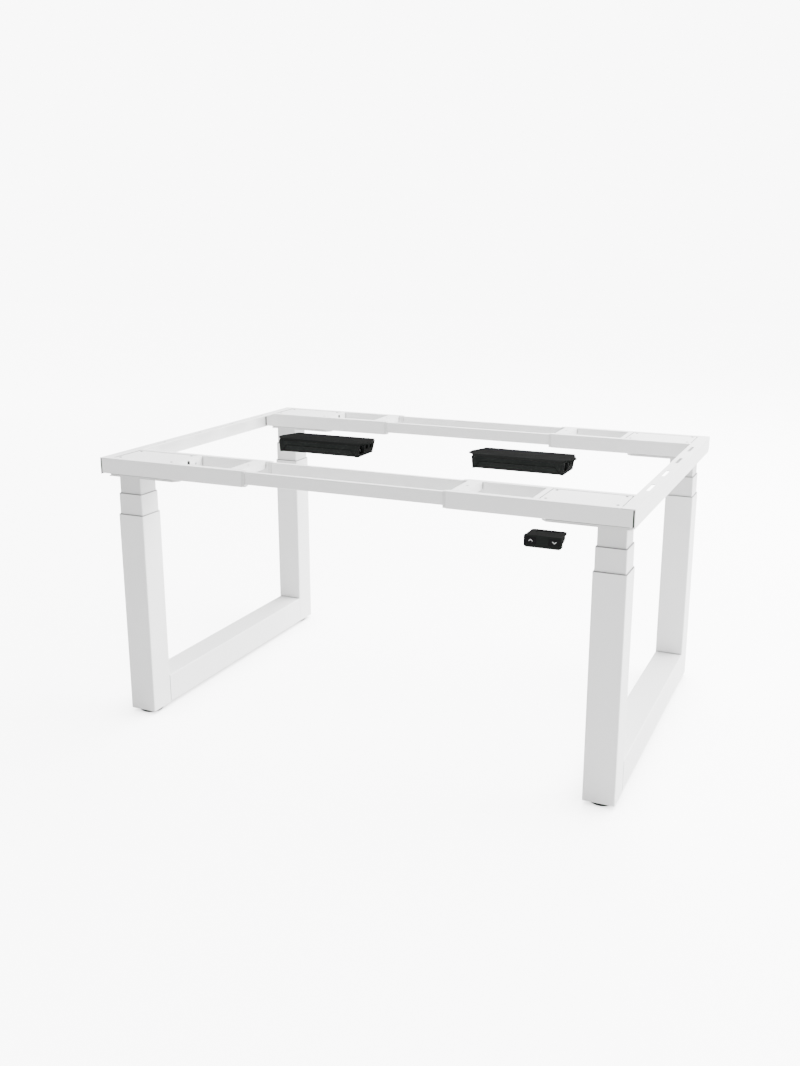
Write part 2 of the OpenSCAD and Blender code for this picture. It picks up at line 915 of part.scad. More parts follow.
// Section of the tray in X and Z, drawn in at the bottom of both ends
module tray_end_section() {
    half = box_length / 2;
    polygon([
        [-half, tray_top],
        [half, tray_top],
        [half - box_end_draught, box_bottom],
        [box_end_draught - half, box_bottom]
    ]);
}

// Wedge that is cut from the bottom of the tray's front, with slanting ends
module tray_facet() {
    front_face = -box_depth / 2;
    below = box_bottom - overrun;
    facet_top = box_bottom + facet_height;
    bottom_half = box_length / 2 - facet_margin;
    intersection() {
        translate([-bottom_half, 0, 0])
            along_x(2 * bottom_half)
                polygon([
                    [front_face - overrun, facet_top],
                    [front_face, facet_top],
                    [front_face + facet_depth, box_bottom],
                    [front_face + facet_depth, below],
                    [front_face - overrun, below]
                ]);
        rotate([90, 0, 0])
            linear_extrude(box_depth)
                polygon([
                    [-bottom_half, below],
                    [bottom_half, below],
                    [bottom_half, box_bottom],
                    [bottom_half - facet_slant, facet_top],
                    [facet_slant - bottom_half, facet_top],
                    [-bottom_half, box_bottom]
                ]);
    }
}

// One socket in the tray's right end, from its lower front corner
module socket_cut(y, width, height) {
    translate([
        box_length / 2 - socket_depth,
        y - box_depth / 2,
        tray_top - socket_roof - height
    ])
        cube([socket_depth + overrun, width, height]);
}

// Tray of a control box, with the mains inlet and two motor sockets in its right end
module box_tray(side) {
    first_socket = inlet_margin + inlet_width + socket_wall;
    color(case_black)
        translate([side * box_offset, box_setback, 0])
            difference() {
                intersection() {
                    translate([-box_length / 2, 0, 0])
                        along_x(box_length)
                            tray_section();
                    translate([0, box_depth / 2, 0])
                        rotate([90, 0, 0])
                            linear_extrude(box_depth)
                                tray_end_section();
                }
                tray_facet();
                socket_cut(inlet_margin, inlet_width, inlet_height);
                socket_cut(first_socket, socket_width, socket_height);
                socket_cut(first_socket + socket_width + socket_wall, socket_width, socket_height);
            }
}

// Outline of the ear at the lid's right end
module ear_outline() {
    half = box_length / 2;
    polygon([
        [half - ear_length, -ear_root / 2],
        [half, -ear_root / 2],
        [half + ear_length, -ear_shift - ear_tip / 2],
        [half + ear_length, ear_tip / 2 - ear_shift],
        [half, ear_root / 2],
        [half - ear_length, ear_root / 2]
    ]);
}

// Lid of a control box, bevelled in front, with an ear at each end for the desktop's screws
module box_lid(side) {
    half_depth = box_depth / 2;
    color(case_black)
        translate([side * box_offset, box_setback, 0])
            difference() {
                union() {
                    intersection() {
                        translate([0, 0, tray_top])
                            linear_extrude(lid_thickness)
                                rounded(box_length, box_depth, lid_corner);
                        translate([-box_length / 2, 0, 0])
                            along_x(box_length)
                                polygon([
                                    [-half_depth, tray_top],
                                    [half_depth, tray_top],
                                    [half_depth, frame_top],
                                    [lid_bevel - half_depth, frame_top]
                                ]);
                    }
                    for (end = [0, 1])
                        mirror([end, 0, 0])
                            translate([0, 0, frame_top - ear_thickness])
                                linear_extrude(ear_thickness)
                                    ear_outline();
                }
                for (end = [-1, 1])
                    translate([end * ear_reach, -ear_shift, frame_top - ear_thickness - overrun])
                        cylinder(h = ear_thickness + 2 * overrun, d = ear_hole);
            }
}

// Outline of the handset's front panel in X and Z, from the desktop down
module panel_outline() {
    lower_x = handset_width / 2 - handset_round;
    upper_x = handset_width / 2 - panel_corner;
    translate([-handset_width / 2, handset_round - handset_height])
        square([handset_width, handset_height - handset_round - panel_corner]);
    translate([-lower_x, -handset_height])
        square([2 * lower_x, handset_height]);
    for (i = [-1, 1]) {
        translate([i * lower_x, handset_round - handset_height])
            circle(handset_round);
        translate([i * upper_x, -panel_corner])
            circle(panel_corner);
    }
    translate([-upper_x, -panel_corner])
        square([2 * upper_x, panel_corner]);
}

// Section of the handset's case in Y and Z, from the desktop down
module case_section() {
    polygon([
        [0, -flange_thickness / 2],
        [case_depth, -flange_thickness / 2],
        [case_depth, -case_back_height],
        [case_level, -case_height],
        [0, -case_height]
    ]);
}

// Body of the handset: a flange against the desktop, a case and a front panel with key openings
module handset_body() {
    color(case_black)
        translate([handset_x, handset_y, frame_top])
            difference() {
                union() {
                    translate([0, handset_depth / 2, -flange_thickness])
                        linear_extrude(flange_thickness)
                            rounded(flange_width, handset_depth, handset_corner);
                    translate([0, panel_thickness, 0])
                        rotate([90, 0, 0])
                            linear_extrude(panel_thickness)
                                panel_outline();
                    translate([-case_width / 2, 0, 0])
                        along_x(case_width)
                            case_section();
                }
                translate([0, recess_offset, -recess_depth])
                    linear_extrude(recess_depth + overrun)
                        rounded(recess_length, recess_width, recess_corner);
                for (i = [-1, 1]) {
                    translate([i * key_pitch / 2, key_thickness + key_travel, -key_drop])
                        rotate([90, 0, 0])
                            linear_extrude(key_thickness + key_travel + overrun)
                                rounded(
                                    key_width + 2 * key_play,
                                    key_height + 2 * key_play,
                                    key_corner + key_play
                                );
                    translate([
                        i * handset_hole_pitch / 2,
                        handset_depth - handset_hole_inset,
                        -flange_thickness - overrun
                    ])
                        cylinder(h = flange_thickness + 2 * overrun, d = handset_hole);
                }
            }
}

// One key of the handset, which is pressed towards the back
module handset_key(i) {
    color(case_black)
        translate([handset_x + i * key_pitch / 2, handset_y + key_thickness, key_z])
            rotate([90, 0, 0])
                linear_extrude(key_thickness)
                    rounded(key_width, key_height, key_corner);
}

outer_tube(left, front);  // left_front_outer_tube
outer_tube(left, rear);  // left_rear_outer_tube
outer_tube(right, front);  // right_front_outer_tube
outer_tube(right, rear);  // right_rear_outer_tube
foot_beam(left);  // left_foot_beam
foot_beam(right);  // right_foot_beam
glide(left, front);  // left_front_glide
glide(left, rear);  // left_rear_glide
glide(right, front);  // right_front_glide
glide(right, rear);  // right_rear_glide
outer_bushes(left);  // left_outer_bushes
outer_bushes(right);  // right_outer_bushes
lower_nuts(left);  // left_lower_nuts
lower_nuts(right);  // right_lower_nuts
mid_tube(left, front);  // left_front_mid_tube
mid_tube(left, rear);  // left_rear_mid_tube
mid_tube(right, front);  // right_front_mid_tube
mid_tube(right, rear);  // right_rear_mid_tube
mid_bushes(left);  // left_mid_bushes
mid_bushes(right);  // right_mid_bushes
upper_nuts(left);  // left_upper_nuts
upper_nuts(right);  // right_upper_nuts
lower_lift_screw(left, front);  // left_front_lower_screw
lower_lift_screw(left, rear);  // left_rear_lower_screw
lower_lift_screw(right, front);  // right_front_lower_screw
lower_lift_screw(right, rear);  // right_rear_lower_screw
upper_lift_screw(left, front);  // left_front_upper_screw
upper_lift_screw(left, rear);  // left_rear_upper_screw
upper_lift_screw(right, front);  // right_front_upper_screw
upper_lift_screw(right, rear);  // right_rear_upper_screw
inner_tube(left, front);  // left_front_inner_tube
inner_tube(left, rear);  // left_rear_inner_tube
inner_tube(right, front);  // right_front_inner_tube
inner_tube(right, rear);  // right_rear_inner_tube
bracket(left, front);  // left_front_bracket
bracket(left, rear);  // left_rear_bracket
bracket(right, front);  // right_front_bracket
bracket(right, rear);  // right_rear_bracket
side_rail(left);  // left_side_rail
side_rail(right);  // right_side_rail
motor_cover(left, front);  // left_front_motor_cover
motor_cover(left, rear);  // left_rear_motor_cover
motor_cover(right, front);  // right_front_motor_cover
motor_cover(right, rear);  // right_rear_motor_cover
gear_motors(left);  // left_gear_motors
gear_motors(right);  // right_gear_motors
top_bushes(left);  // left_top_bushes
top_bushes(right);  // right_top_bushes
centre_rail(-outer_channel_y);  // front_outer_rail
centre_rail(-inner_channel_y);  // front_inner_rail
centre_rail(inner_channel_y);  // rear_inner_rail
centre_rail(outer_channel_y);  // rear_outer_rail
box_tray(left);  // left_box_tray
box_tray(right);  // right_box_tray
box_lid(left);  // left_box_lid
box_lid(right);  // right_box_lid
handset_body();
handset_key(-1);  // up_key
handset_key(1);  // down_key
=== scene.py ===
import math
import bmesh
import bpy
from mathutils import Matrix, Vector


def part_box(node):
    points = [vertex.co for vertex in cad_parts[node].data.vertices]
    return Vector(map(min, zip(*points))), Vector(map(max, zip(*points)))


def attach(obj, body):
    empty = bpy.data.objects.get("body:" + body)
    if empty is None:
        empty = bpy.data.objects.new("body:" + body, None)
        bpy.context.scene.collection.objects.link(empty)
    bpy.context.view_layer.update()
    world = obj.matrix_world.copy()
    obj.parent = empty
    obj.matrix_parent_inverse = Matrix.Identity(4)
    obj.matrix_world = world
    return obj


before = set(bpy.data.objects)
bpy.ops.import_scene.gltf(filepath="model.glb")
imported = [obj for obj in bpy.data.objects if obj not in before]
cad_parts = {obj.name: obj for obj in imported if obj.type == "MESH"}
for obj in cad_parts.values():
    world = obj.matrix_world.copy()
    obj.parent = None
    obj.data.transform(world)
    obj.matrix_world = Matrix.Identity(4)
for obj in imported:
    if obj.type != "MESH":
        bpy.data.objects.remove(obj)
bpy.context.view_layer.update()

# %% [markdown]
# # A standing desk frame without its top
# This notebook dresses the solids of an electric desk frame: four telescopic columns on two
# loop feet, telescopic rails, slotted side rails, two control boxes and a handset. The solids
# already have their true sizes, so the work here is finish, fastenings, welds, small mouldings,
# light and the camera. Every length is in metres. The frame's four corners are nearly alike, so
# most steps make one corner's piece and repeat it with a sign for the side and one for the end.

# %% [markdown]
# ## The camera
# The frame was seen from its right front, a little above the desktop's plane, through a lens a
# little wider than normal. Placing the camera first means that each render can be laid over the
# photograph while the pieces are made. The place and the turn come from lines that are square
# to each other on the real frame. The small lens shift stands for a photograph that was trimmed
# a little unevenly. The sensor's width lies along the picture's longer side, which is its height.

# %% Camera
LENS_MM, SENSOR_MM = 36.84, 36.0
TRIM_ACROSS, TRIM_UP = -0.00344, -0.00440
CAMERA_PLACE = (1.0462, -2.4428, 1.1437)
LOOK_DOWN, LOOK_LEFT = 14.76, 24.08
camera_data = bpy.data.cameras.new("studio_camera")
camera_data.lens = LENS_MM
camera_data.sensor_width = SENSOR_MM
camera_data.shift_x = TRIM_ACROSS
camera_data.shift_y = TRIM_UP
camera = bpy.data.objects.new("studio_camera", camera_data)
camera.location = CAMERA_PLACE
camera.rotation_euler = (math.radians(90.0 - LOOK_DOWN), 0.0, math.radians(LOOK_LEFT))
bpy.context.scene.collection.objects.link(camera)
bpy.context.scene.camera = camera
print("camera at", tuple(camera.location))

# %% [markdown]
# ## One node in one call
# A material is a net of nodes. A node may have an operation, sockets that hold a fixed value and
# sockets that take their value from another node. It could be made line by line, as one clicks
# it together in the shader editor, but then a short net fills a page. This helper does it all in
# one call, so each call below reads as one step of a finish.


# %% Helper: one node with its values and links
def add_node(tree, kind, operation=None, values=None, links=None):
    node = tree.nodes.new(kind)
    if operation:
        node.operation = operation
    for socket, value in (values or {}).items():
        node.inputs[socket].default_value = value
    for socket, source in (links or {}).items():
        tree.links.new(source, node.inputs[socket])
    return node


# %% [markdown]
# ## A shared grain
# Powder coat, moulded plastic and brushed steel all have a fine relief that breaks up their
# gloss. One node group makes that relief from noise on the Object coordinates, so it keeps its
# size in millimetres on every piece. It hands out a normal for the bump, and a slow variation
# that each material mixes into its colour and its roughness. A stretch along one axis turns the
# even grain into the turning marks of a screw.

# %% Node group: fine grain
BUMP_HEIGHT = 0.001


def make_grain_group():
    group = bpy.data.node_groups.new("fine_grain", "ShaderNodeTree")
    face = group.interface
    for name, value in (("Grain Size", 900.0), ("Patch Size", 6.0), ("Depth", 0.05)):
        socket = face.new_socket(name=name, in_out="INPUT", socket_type="NodeSocketFloat")
        socket.default_value = value
    stretch = face.new_socket(name="Stretch", in_out="INPUT", socket_type="NodeSocketVector")
    stretch.default_value = (1.0, 1.0, 1.0)
    face.new_socket(name="Normal", in_out="OUTPUT", socket_type="NodeSocketVector")
    face.new_socket(name="Patch", in_out="OUTPUT", socket_type="NodeSocketFloat")
    given = group.nodes.new("NodeGroupInput")
    place = group.nodes.new("ShaderNodeTexCoord")
    stretched = add_node(group, "ShaderNodeVectorMath", "MULTIPLY", links={
        0: place.outputs["Object"], 1: given.outputs["Stretch"]})
    grain = add_node(group, "ShaderNodeTexNoise", values={"Detail": 3.0, "Roughness": 0.55},
                     links={"Vector": stretched.outputs["Vector"],
                            "Scale": given.outputs["Grain Size"]})
    patch = add_node(group, "ShaderNodeTexNoise", values={"Detail": 2.0}, links={
        "Vector": place.outputs["Object"], "Scale": given.outputs["Patch Size"]})
    bump = add_node(group, "ShaderNodeBump", values={"Distance": BUMP_HEIGHT}, links={
        "Height": grain.outputs["Fac"], "Strength": given.outputs["Depth"]})
    add_node(group, "NodeGroupOutput", links={
        "Normal": bump.outputs["Normal"], "Patch": patch.outputs["Fac"]})
    return group


GRAIN = make_grain_group()
print("group", GRAIN.name)

# %% [markdown]
# ## Painted shade in slits
# Where one sheet part ends and the next begins, a real frame shows a thin dark line: the shade at
# the bottom of the slit between them. Here that shade is painted into the colour. The line could
# be drawn piece by piece, but the surface can find its own slits. Ambient occlusion that reaches
# one centimetre says how open each point is, and where it is nearly closed, the colour falls to a
# small share, which is painted shade.


# %% Helper: the colour times a share, and painted shade inside slits
def scaled_colour(tree, colour, share):
    node = add_node(tree, "ShaderNodeVectorMath", "SCALE", links={0: colour, "Scale": share})
    return node.outputs["Vector"]


SLIT_REACH, SLIT_SAMPLES = 0.010, 8
CLOSED, OPEN, SLIT_SHADE_SHARE = 0.42, 0.68, 0.12


# Painted shade: the colour falls to a small share where ambient occlusion finds a slit.
def paint_shade_in_slits(tree, colour):
    openness = add_node(tree, "ShaderNodeAmbientOcclusion", values={"Distance": SLIT_REACH})
    openness.samples = SLIT_SAMPLES
    share = add_node(tree, "ShaderNodeMapRange", values={
        "From Min": CLOSED, "From Max": OPEN, "To Min": SLIT_SHADE_SHARE},
        links={"Value": openness.outputs["AO"]})
    return scaled_colour(tree, colour, share.outputs["Result"])


# %% [markdown]
# ## Black cases under strong lamps
# The lamps that make a white frame bright would turn black cases grey on their right sides and
# tops, and the photograph has them nearly as dark all round. So their colour falls where the
# surface faces the lamps, which is where its normal points along X or up. The normal belongs to
# the piece and not to the camera, so the effect is the same from each side.

# %% Helper: the colour where a surface faces the lamps
FACING_FROM = 0.2


def darker_to_lamps(tree, colour, loss):
    surface = tree.nodes.new("ShaderNodeNewGeometry")
    parts = add_node(tree, "ShaderNodeSeparateXYZ", links={"Vector": surface.outputs["Normal"]})
    facing = add_node(tree, "ShaderNodeMath", "MAXIMUM", links={
        0: parts.outputs["X"], 1: parts.outputs["Z"]})
    share = add_node(tree, "ShaderNodeMapRange", values={
        "From Min": FACING_FROM, "To Min": 1.0, "To Max": 1.0 - loss},
        links={"Value": facing.outputs["Value"]})
    return scaled_colour(tree, colour, share.outputs["Result"])


# %% [markdown]
# ## A finish
# A finish is a Principled shader whose colour and roughness run between two values, driven by
# the slow patches of the grain group. The differences are small, as on a real coated tube: the
# eye takes them for handling and for uneven film thickness, and not for dirt. What is the same
# all over a surface, such as its shine, is set on the shader itself.

# %% Helper: a finish from two colours, two roughnesses and a grain
PATCH_LOW, PATCH_HIGH = 0.25, 0.75


def make_finish(name, colour_a, colour_b, rough, metallic=0.0, grain=900.0, patch=6.0,
                depth=0.05, stretch=(1.0, 1.0, 1.0), shine=0.5, shade_slits=False, lamp_loss=0.0):
    material = bpy.data.materials.new(name)
    material.use_nodes = True
    tree = material.node_tree
    shader = tree.nodes["Principled BSDF"]
    shader.inputs["Metallic"].default_value = metallic
    shader.inputs["Specular IOR Level"].default_value = shine
    surface = tree.nodes.new("ShaderNodeGroup")
    surface.node_tree = GRAIN
    for socket, value in (("Grain Size", grain), ("Patch Size", patch), ("Depth", depth),
                          ("Stretch", stretch)):
        surface.inputs[socket].default_value = value
    mixed = tree.nodes.new("ShaderNodeMix")
    mixed.data_type = "RGBA"
    mixed.inputs["A"].default_value = (*colour_a, 1.0)
    mixed.inputs["B"].default_value = (*colour_b, 1.0)
    tree.links.new(surface.outputs["Patch"], mixed.inputs["Factor"])
    colour = mixed.outputs["Result"]
    if shade_slits:
        # Painted shade in slits, from ambient occlusion.
        colour = paint_shade_in_slits(tree, colour)
    if lamp_loss > 0.0:
        colour = darker_to_lamps(tree, colour, lamp_loss)
    roughness = add_node(tree, "ShaderNodeMapRange", values={
        "From Min": PATCH_LOW, "From Max": PATCH_HIGH, "To Min": rough[0], "To Max": rough[1]},
        links={"Value": surface.outputs["Patch"]})
    tree.links.new(colour, shader.inputs["Base Color"])
    tree.links.new(roughness.outputs["Result"], shader.inputs["Roughness"])
    tree.links.new(surface.outputs["Normal"], shader.inputs["Normal"])
    return material


# %% [markdown]
# ## The finishes of the frame
# The steel is powder coated. The sliding stages are a little greyer than the outer tubes: the
# real coat is the same white, and the grey is painted shade from the brackets and bushes above
# them. Nylon and case plastic have a moulded grain and little shine.
# The screws, nuts and motors inside keep their bare metals: one sees them when the frame is
# taken apart.

# %% Finishes
white_coat = make_finish("white_powder_coat", (0.80, 0.80, 0.80), (0.84, 0.84, 0.835),
                         (0.42, 0.52), grain=1400.0, patch=5.0, depth=0.10, shade_slits=True)
# The mid and inner stages are darker copies of the white coat: painted shade.
mid_stage_shade_coat = make_finish("mid_stage_painted_shade", (0.700, 0.700, 0.700), (0.740, 0.740, 0.735),
                       (0.40, 0.50), grain=1400.0, patch=5.0, depth=0.08, shade_slits=True)
inner_stage_shade_coat = make_finish("inner_stage_painted_shade", (0.560, 0.560, 0.560), (0.600, 0.600, 0.595),
                         (0.38, 0.48), grain=1400.0, patch=5.0, depth=0.08, shade_slits=True)
weld_coat = make_finish("coated_weld", (0.74, 0.74, 0.74), (0.82, 0.82, 0.81),
                        (0.45, 0.60), grain=420.0, patch=40.0, depth=0.35)
black_nylon = make_finish("black_nylon", (0.010, 0.010, 0.011), (0.016, 0.016, 0.017),
                          (0.45, 0.60), grain=1600.0, patch=25.0, depth=0.12, shine=0.2)
grey_nylon = make_finish("grey_nylon", (0.14, 0.14, 0.14), (0.19, 0.19, 0.19),
                         (0.50, 0.60), grain=1600.0, patch=25.0, depth=0.10)
pale_nylon = make_finish("pale_nylon", (0.66, 0.66, 0.655), (0.72, 0.72, 0.715),
                         (0.50, 0.60), grain=1600.0, patch=25.0, depth=0.10)
case_plastic = make_finish("case_plastic", (0.010, 0.0110, 0.0105), (0.015, 0.0165, 0.0155),
                           (0.62, 0.78), grain=2200.0, patch=18.0, depth=0.22, shine=0.015,
                           lamp_loss=0.84)
key_plastic = make_finish("key_plastic", (0.006, 0.006, 0.0065), (0.009, 0.009, 0.0095),
                          (0.50, 0.62), grain=2600.0, patch=30.0, depth=0.08, shine=0.04)
screw_steel = make_finish("oiled_screw_steel", (0.48, 0.47, 0.46), (0.62, 0.62, 0.62),
                          (0.22, 0.36), metallic=1.0, grain=60.0, patch=12.0, depth=0.25,
                          stretch=(0.02, 0.02, 6.0))
bronze = make_finish("nut_bronze", (0.52, 0.33, 0.14), (0.62, 0.42, 0.19), (0.30, 0.45),
                     metallic=1.0, grain=300.0, patch=30.0, depth=0.10)
cast_grey = make_finish("cast_grey", (0.20, 0.205, 0.21), (0.30, 0.305, 0.31), (0.45, 0.62),
                        metallic=1.0, grain=700.0, patch=14.0, depth=0.35)
# Painted shadow for the bottoms of the cross slots.
recess = make_finish("recess_shadow", (0.008, 0.008, 0.009), (0.014, 0.014, 0.015), (0.70, 0.85),
                     grain=1200.0, patch=60.0, depth=0.10, shine=0.1)
# Painted shadow: darker than the case, for the shade inside the box groove.
painted_groove_shadow = make_finish("painted_groove_shadow", (0.0015, 0.0015, 0.0016), (0.003, 0.003, 0.0032),
                           (0.70, 0.80), grain=2200.0, patch=60.0, depth=0.10, shine=0.02)
zinc = make_finish("zinc_plate", (0.52, 0.53, 0.54), (0.66, 0.67, 0.68), (0.24, 0.36),
                   metallic=1.0, grain=500.0, patch=60.0, depth=0.08)
print("finishes", len(bpy.data.materials))

# %% [markdown]
# ## Which solid gets which finish
# The solids' names say what they are, so one short table from a word in the name to a finish
# covers all of them. The first word that fits decides, and the white parts come last, because
# most of the frame is white.

# %% Assign finishes to the solids
FINISH_BY_WORD = (
    ("_nuts", bronze),
    ("_screw", screw_steel),
    ("_gear_motors", cast_grey),
    ("_outer_bushes", grey_nylon),
    ("_mid_bushes", grey_nylon),
    ("_top_bushes", pale_nylon),
    ("_glide", black_nylon),
    ("_mid_tube", mid_stage_shade_coat),
    ("_inner_tube", inner_stage_shade_coat),
    ("_key", key_plastic),
    ("_box_", case_plastic),
    ("handset", case_plastic),
    ("", white_coat),
)
for name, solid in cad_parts.items():
    finish = next(m for word, m in FINISH_BY_WORD if word in name)
    for place in solid.material_slots:
        place.material = finish
print("finished solids", len(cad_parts))

# %% [markdown]
# ## From a bmesh to a piece
# Every small piece below goes the same way: operators shape a bmesh, its normals are made to
# point outwards, and the mesh becomes an object that rides on the body that carries it. Edges
# that turn by more than thirty degrees stay crisp, and the rest are shaded round.

# %% Helper: a piece from a bmesh
CRISP_ANGLE = 30.0


def make_piece(name, bm, finish, body):
    bmesh.ops.recalc_face_normals(bm, faces=bm.faces)
    mesh = bpy.data.meshes.new(name)
    bm.to_mesh(mesh)
    bm.free()
    mesh.materials.append(finish)
    for face in mesh.polygons:
        face.use_smooth = True
    mesh.set_sharp_from_angle(angle=math.radians(CRISP_ANGLE))
    piece = bpy.data.objects.new(name, mesh)
    bpy.context.scene.collection.objects.link(piece)
    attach(piece, body)
    return piece


# %% [markdown]
# ## The four corners, and the measures of one
# A side and an end name a corner of the frame, and a sign stands for each: minus for left and
# front, plus for right and rear. Where a leg, a leg plate, a channel or a motor cover is could be
# typed in, but then a changed frame would leave its screws behind. So the places are read from
# the boxes round the solids of the right rear corner, and the signs take them to the other three.

# %% Corners and measures
SIDES = {"left": -1.0, "right": 1.0}
ENDS = {"front": -1.0, "rear": 1.0}
CORNERS = [(side, end, sx, sy) for side, sx in SIDES.items() for end, sy in ENDS.items()]
TOP_BODY = {"left": "left_top", "right": "right_top"}
CHANNEL_WIDTH, LEG_PLATE = 0.016, 0.005
low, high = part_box("right_rear_outer_tube")
leg_x, leg_y = (low.x + high.x) / 2, (low.y + high.y) / 2
low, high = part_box("right_rear_inner_tube")
plate_top, plate_y = high.z, (low.y, high.y)
plate_under = plate_top - LEG_PLATE
low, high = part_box("right_rear_bracket")
channel_x = (low.x, high.x)
channel_y = (high.y - CHANNEL_WIDTH / 2, low.y + CHANNEL_WIDTH / 2)
low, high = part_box("right_rear_motor_cover")
cover_x, cover_y, cover_top = (low.x, high.x), (low.y, high.y), high.z
print("leg axis", leg_x, leg_y, "channels", channel_x, channel_y)

# %% [markdown]
# ## Button head screws
# The leg plates hang from the brackets on button head screws with a hexagon socket. A head is a
# low stack of rings, bridged one to the next. The last two rings are hexagons, so the bridge
# from round to hexagonal makes the socket's rim, and the deeper one its floor. A turn about an
# axis is needed again and again, so it gets a helper that takes degrees.

# %% Helpers: a turn, and one button head that points up or down
# Each ring's share of the radius, its share of the height and its number of points
HEAD_RINGS = ((1.00, 0.00, 24), (0.97, 0.35, 24), (0.80, 0.80, 24), (0.55, 1.00, 24),
              (0.42, 1.00, 6), (0.42, 0.35, 6))


def turned(degrees, axis):
    return Matrix.Rotation(math.radians(degrees), 3, axis)


def button_head(bm, place, radius, height, up):
    made, rings = [], []
    for across, upward, points in HEAD_RINGS:
        loop = bmesh.ops.create_circle(bm, segments=points, radius=radius * across)["verts"]
        bmesh.ops.translate(bm, verts=loop, vec=(0.0, 0.0, upward * height))
        rings.append(list(dict.fromkeys(e for v in loop for e in v.link_edges)))
        made += loop
    bmesh.ops.contextual_create(bm, geom=rings[0])
    bmesh.ops.contextual_create(bm, geom=rings[-1])
    for first, second in zip(rings, rings[1:]):
        bmesh.ops.bridge_loops(bm, edges=first + second)
    if not up:
        bmesh.ops.rotate(bm, verts=made, matrix=turned(180.0, "X"))
    bmesh.ops.translate(bm, verts=made, vec=place)
    return made


# %% [markdown]
# ## Leg plate screws
# Two screws at each end of a leg plate go up into the two channels. The inner pair sits near the
# plate's inner end, and the outer pair just past the leg. The left and right plates differ in
# length, so the inner end is read for each plate.

# %% Screws under each leg plate
PLATE_HEAD, PLATE_HEAD_HEIGHT = 0.0048, 0.0016
FROM_INNER_END, PAST_LEG = 0.026, 0.028
for side, end, sx, sy in CORNERS:
    low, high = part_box(f"{side}_{end}_inner_tube")
    inner_end = min(abs(low.x), abs(high.x))
    bm = bmesh.new()
    for x in (inner_end + FROM_INNER_END, leg_x + PAST_LEG):
        for y in (plate_y[0] + CHANNEL_WIDTH / 2, plate_y[1] - CHANNEL_WIDTH / 2):
            button_head(bm, (sx * x, sy * y, plate_under), PLATE_HEAD, PLATE_HEAD_HEIGHT, False)
    make_piece(f"{side}_{end}_plate_screws", bm, zinc, TOP_BODY[side])
print("plate screws made")

# %% [markdown]
# ## Clamp screws
# The frame's length is set by sliding the centre rails in the brackets and then tightening two
# screws under each channel's mouth. They bear on a rail from below, so they sit on the
# bracket and not on the rail, and stay with it when the frame is drawn out.

# %% Clamp screws under the channels
CLAMP_HEAD, CLAMP_HEAD_HEIGHT = 0.0042, 0.0007
FROM_MOUTH = (0.045, 0.095)
for side, end, sx, sy in CORNERS:
    bm = bmesh.new()
    for distance in FROM_MOUTH:
        for y in channel_y:
            place = (sx * (channel_x[0] + distance), sy * y, plate_top)
            button_head(bm, place, CLAMP_HEAD, CLAMP_HEAD_HEIGHT, False)
    make_piece(f"{side}_{end}_clamp_screws", bm, zinc, TOP_BODY[side])
print("clamp screws made")

# %% [markdown]
# ## Rounded blocks
# Plugs, grommets, groove strips and printed bars are all flat blocks with round corners. One
# square face whose corners are bevelled and which is then extruded gives them all, at the right
# size from the start, so no later scaling can flatten a corner. A block is easiest to make alone
# in a bmesh of its own. It is then poured into the piece that it belongs to, and its new vertices
# are handed back, so that the block can be placed.


# %% Helpers: pour one bmesh into another, and a flat block centred in X and Y, from Z = 0 up
def pour(source, target):
    mesh = bpy.data.meshes.new("poured")
    source.to_mesh(mesh)
    source.free()
    count = len(target.verts)
    target.from_mesh(mesh)
    bpy.data.meshes.remove(mesh)
    target.verts.ensure_lookup_table()
    return list(target.verts)[count:]


def rounded_block(bm, size_x, size_y, thickness, corner, segments=5):
    block = bmesh.new()
    bmesh.ops.create_grid(block, x_segments=1, y_segments=1, size=0.5)
    bmesh.ops.scale(block, verts=block.verts, vec=(size_x, size_y, 1.0))
    bmesh.ops.bevel(block, geom=list(block.verts), affect="VERTICES", offset=corner,
                    segments=segments, profile=0.5, material=-1)
    raised = bmesh.ops.extrude_face_region(block, geom=list(block.faces), use_keep_orig=True)
    top = [v for v in raised["geom"] if isinstance(v, bmesh.types.BMVert)]
    bmesh.ops.translate(block, verts=top, vec=(0.0, 0.0, thickness))
    return pour(block, bm)


# %% [markdown]
# ## End plugs of the channels
# The black line at each corner of the frame is the rim of a plastic plug. It closes the
# channel's end, laps over its edge by about a millimetre, and fills the slit in front of the
# side rail. Its black is partly the plug's own colour and partly painted shade of that slit. The
# rim is made flat and turned twice, until its thickness lies along the frame.

# %% End plugs
PLUG_WIDTH, PLUG_HEIGHT, PLUG_CORNER = 0.0164, 0.0352, 0.0012
PLUG_RIM, PLUG_LAP, PLUG_MIDDLE = 0.0026, 0.0014, 0.0176
# The plug rim's black also stands for painted shade in the slit before the side rail.
for side, end, sx, sy in CORNERS:
    rim_start = sx * channel_x[1] - (PLUG_LAP if sx > 0 else PLUG_RIM - PLUG_LAP)
    bm = bmesh.new()
    for y in channel_y:
        plug = rounded_block(bm, PLUG_WIDTH, PLUG_HEIGHT, PLUG_RIM, PLUG_CORNER)
        bmesh.ops.rotate(bm, verts=plug, matrix=turned(90.0, "X"))
        bmesh.ops.rotate(bm, verts=plug, matrix=turned(90.0, "Z"))
        bmesh.ops.translate(bm, verts=plug, vec=(rim_start, sy * y, plate_top + PLUG_MIDDLE))
    make_piece(f"{side}_{end}_end_plugs", bm, black_nylon, TOP_BODY[side])
print("end plugs made")

# %% [markdown]
# ## Fixings on the motor strap
# Through the opening beside each motor cover, the folded strap shows a rubber grommet for the
# motor's plug and the head of the screw that holds the motor. Both lie on the strap's face that
# looks to the middle of the frame, so they are made flat first and then turned a quarter.

